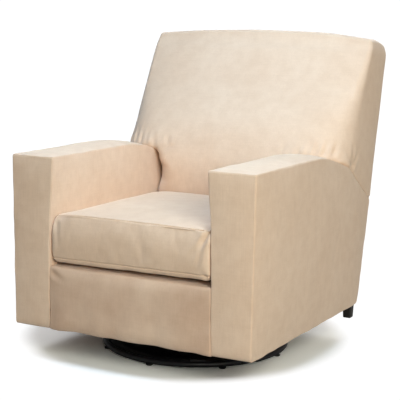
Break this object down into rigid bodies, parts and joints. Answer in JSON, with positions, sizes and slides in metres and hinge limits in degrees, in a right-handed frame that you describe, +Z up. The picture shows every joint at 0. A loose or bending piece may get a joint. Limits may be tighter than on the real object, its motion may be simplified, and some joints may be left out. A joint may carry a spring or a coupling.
{
  "type": "glider nursery chair",
  "caption": "Upholstered club chair that swivels on a round steel base and glides on swing links, with track arms, a tight leaning back and a loose boxed seat cushion.",
  "frame": {"origin": "on the floor, under the middle of the chair's overall box", "axes": "+Z up; the chair faces -Y; +X is to the right for someone who faces the front of the chair"},
  "size_m": [0.84, 1.01, 1.027],
  "materials": {
    "cover": "cream microsuede with a soft mottled nap",
    "deck_cloth": "plain woven deck cloth",
    "black_steel": "black powder coat, half gloss",
    "zinc_steel": "bright zinc plate",
    "nylon": "moulded black nylon",
    "rubber": "matte black rubber",
    "wood": "plain plywood and pine, unfinished",
    "foot_plastic": "satin black moulded block"
  },
  "bodies": {
    "floor_base": {"base_ring": "black_steel", "base_pan": "black_steel", "base_cross": "black_steel", "floor_glide_1": "nylon", "floor_glide_2": "nylon", "floor_glide_3": "nylon", "floor_glide_4": "nylon", "floor_glide_5": "nylon", "floor_glide_6": "nylon", "floor_glide_7": "nylon", "floor_glide_8": "nylon", "swivel_lower_plate": "zinc_steel", "swivel_bolt": "zinc_steel", "swivel_nut": "zinc_steel"},
    "glider_frame": {"swivel_bearing_ring": "zinc_steel", "swivel_upper_plate": "black_steel", "frame_rail_left": "black_steel", "frame_rail_right": "black_steel", "frame_cross_front": "black_steel", "frame_cross_rear": "black_steel", "hanger_post_front_left": "black_steel", "hanger_post_front_right": "black_steel", "hanger_post_rear_left": "black_steel", "hanger_post_rear_right": "black_steel", "stop_bumper_front": "rubber", "stop_bumper_rear": "rubber", "top_pin_front_left": "zinc_steel", "top_pin_front_right": "zinc_steel", "top_pin_rear_left": "zinc_steel", "top_pin_rear_right": "zinc_steel"},
    "link_front_left": {"swing_link_front_left": "black_steel"},
    "link_front_right": {"swing_link_front_right": "black_steel"},
    "link_rear_left": {"swing_link_rear_left": "black_steel"},
    "link_rear_right": {"swing_link_rear_right": "black_steel"},
    "chair_body": {"seat_rail_left": "black_steel", "seat_rail_right": "black_steel", "seat_cross_front": "black_steel", "seat_cross_rear": "black_steel", "lower_pin_front_left": "zinc_steel", "lower_pin_front_right": "zinc_steel", "lower_pin_rear_left": "zinc_steel", "lower_pin_rear_right": "zinc_steel", "side_panel_left": "wood", "side_panel_right": "wood", "front_rail": "wood", "rear_rail": "wood", "back_panel": "wood", "seat_spring_1": "zinc_steel", "seat_spring_2": "zinc_steel", "seat_spring_3": "zinc_steel", "seat_spring_4": "zinc_steel", "rear_foot_left": "foot_plastic", "rear_foot_right": "foot_plastic", "arm_left": "cover", "arm_right": "cover", "front_cover": "cover", "deck_pad": "deck_cloth", "back_cushion": "cover", "outside_back": "cover"},
    "seat_cushion": {"seat_cushion": "cover"}
  },
  "joints": [
    {"name": "swivel", "type": "hinge", "parent": "floor_base", "child": "glider_frame", "pos_m": [0, -0.075, 0], "axis": [0, 0, 1], "continuous": true},
    {"name": "glide", "type": "hinge", "parent": "glider_frame", "child": "link_front_left", "pos_m": [-0.2715, -0.225, 0.2525], "axis": [1, 0, 0], "range_deg": [-25, 25]},
    {"name": "link_swing_front_right", "type": "hinge", "parent": "glider_frame", "child": "link_front_right", "pos_m": [0.2715, -0.225, 0.2525], "axis": [1, 0, 0], "range_deg": [-26, 26]},
    {"name": "link_swing_rear_left", "type": "hinge", "parent": "glider_frame", "child": "link_rear_left", "pos_m": [-0.2715, 0.075, 0.2525], "axis": [1, 0, 0], "range_deg": [-26, 26]},
    {"name": "link_swing_rear_right", "type": "hinge", "parent": "glider_frame", "child": "link_rear_right", "pos_m": [0.2715, 0.075, 0.2525], "axis": [1, 0, 0], "range_deg": [-26, 26]},
    {"name": "chair_level", "type": "hinge", "parent": "link_front_left", "child": "chair_body", "pos_m": [-0.2715, -0.225, 0.1175], "axis": [1, 0, 0], "range_deg": [-26, 26]},
    {"name": "cushion_lift", "type": "slide", "parent": "chair_body", "child": "seat_cushion", "axis": [0, 0, 1], "range_m": [0, 0.36]}
  ],
  "couplings": [
    {"joint": "link_swing_front_right", "follows": "glide", "ratio": 1},
    {"joint": "link_swing_rear_left", "follows": "glide", "ratio": 1},
    {"joint": "link_swing_rear_right", "follows": "glide", "ratio": 1},
    {"joint": "chair_level", "follows": "glide", "ratio": -1}
  ]
}
